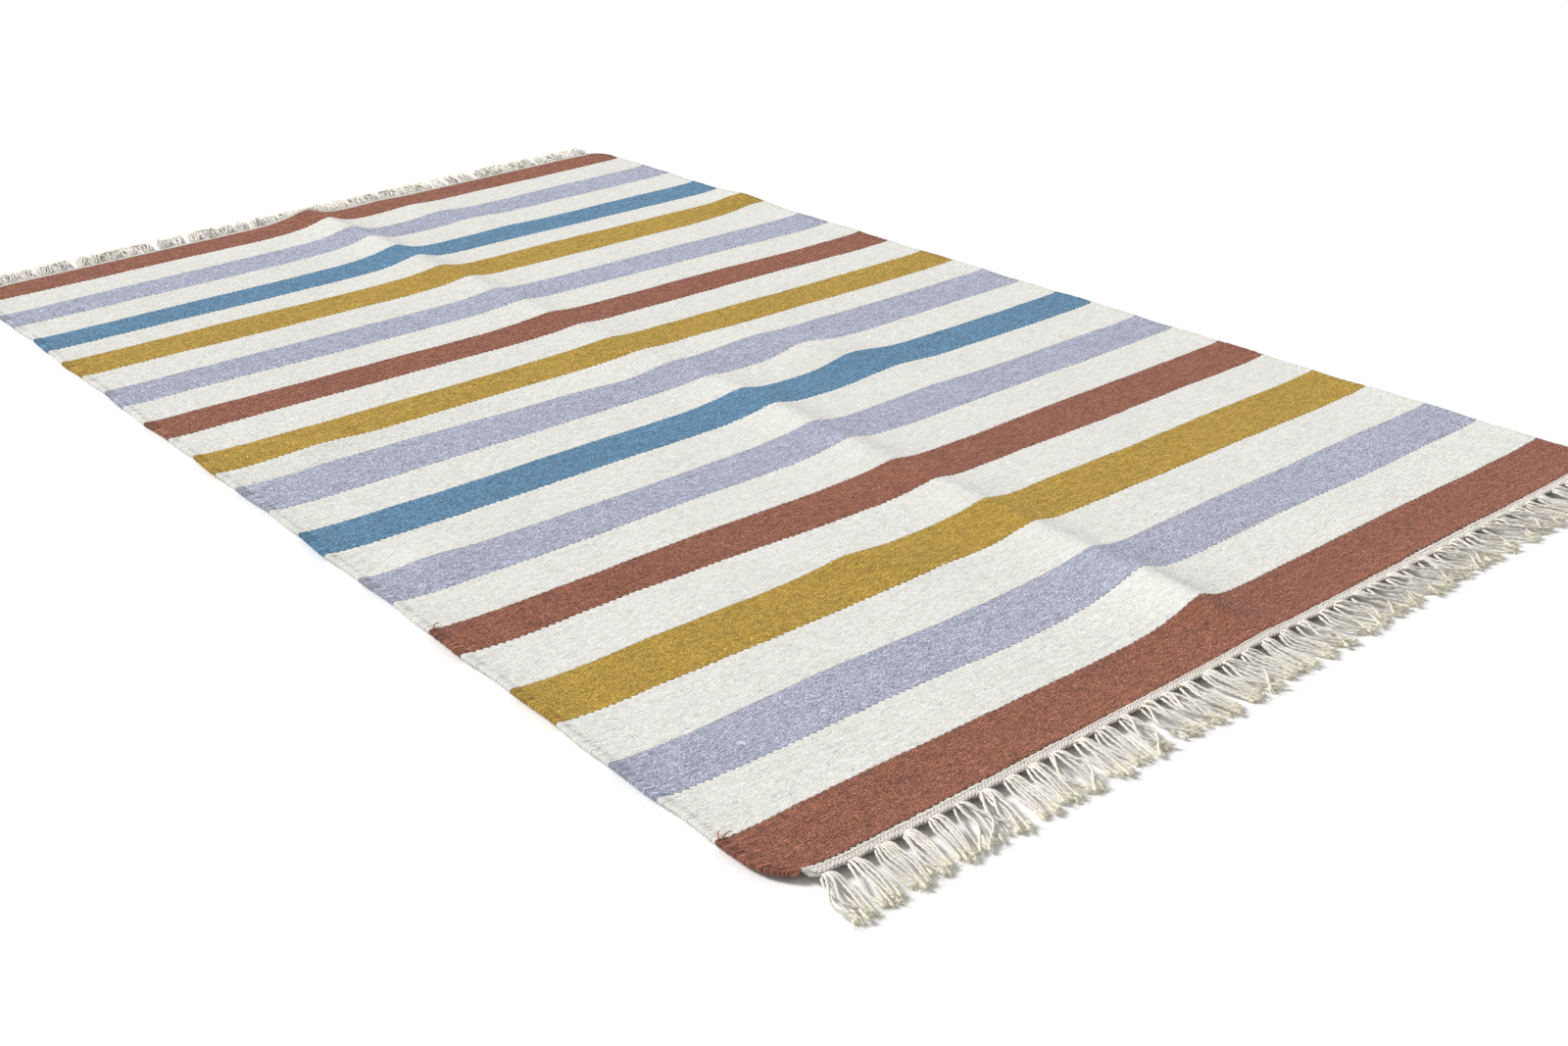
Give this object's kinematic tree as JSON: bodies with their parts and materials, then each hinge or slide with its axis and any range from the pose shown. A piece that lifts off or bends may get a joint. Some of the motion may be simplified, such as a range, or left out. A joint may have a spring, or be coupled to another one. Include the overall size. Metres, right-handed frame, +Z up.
{
  "type": "striped flat-woven rug",
  "caption": "Flat-woven wool rug with crosswise stripes in brown, lavender, blue, mustard and ivory, cotton end webs and tasselled fringe, with a soft lengthwise crease.",
  "frame": {"origin": "on the floor under the middle of the rug, fringes included", "axes": "+X across the width, +Y along the length towards the far end, +Z up"},
  "size_m": [0.914, 1.6466, 0.015],
  "materials": {
    "brown_wool": "heathered terracotta brown wool weft, matt",
    "lavender_wool": "heathered pale lavender grey wool weft, matt",
    "blue_wool": "heathered mid blue wool weft, matt",
    "mustard_wool": "heathered mustard wool weft, matt",
    "ivory_wool": "undyed ivory wool weft with a few dark flecks, matt",
    "warp_cotton": "undyed plied cotton warp cord",
    "web_cotton": "off-white twined cotton web",
    "fringe_cotton": "off-white twisted cotton cords with frayed beige tips"
  },
  "bodies": {
    "near_half": {"band_14_ivory": "ivory_wool", "band_15_lavender": "lavender_wool", "band_16_ivory": "ivory_wool", "band_17_blue": "blue_wool", "band_18_ivory": "ivory_wool", "band_19_lavender": "lavender_wool", "band_20_ivory": "ivory_wool", "band_21_brown": "brown_wool", "band_22_ivory": "ivory_wool", "band_23_mustard": "mustard_wool", "band_24_ivory": "ivory_wool", "band_25_lavender": "lavender_wool", "band_26_ivory": "ivory_wool", "band_27_brown": "brown_wool", "end_web_near": "web_cotton", "warp_sheet_near": "warp_cotton", "selvedge_cord_near_left": "warp_cotton", "selvedge_cord_near_right": "warp_cotton", "fringe_near": "fringe_cotton"},
    "far_half": {"band_01_brown": "brown_wool", "band_02_ivory": "ivory_wool", "band_03_lavender": "lavender_wool", "band_04_ivory": "ivory_wool", "band_05_blue": "blue_wool", "band_06_ivory": "ivory_wool", "band_07_mustard": "mustard_wool", "band_08_ivory": "ivory_wool", "band_09_lavender": "lavender_wool", "band_10_ivory": "ivory_wool", "band_11_brown": "brown_wool", "band_12_ivory": "ivory_wool", "band_13_mustard": "mustard_wool", "end_web_far": "web_cotton", "warp_sheet_far": "warp_cotton", "selvedge_cord_far_left": "warp_cotton", "selvedge_cord_far_right": "warp_cotton", "fringe_far": "fringe_cotton"}
  },
  "joints": [
    {"name": "fold", "type": "hinge", "parent": "near_half", "child": "far_half", "pos_m": [0, 0.03, 0.0075], "axis": [1, 0, 0], "range_deg": [0, 178]}
  ]
}
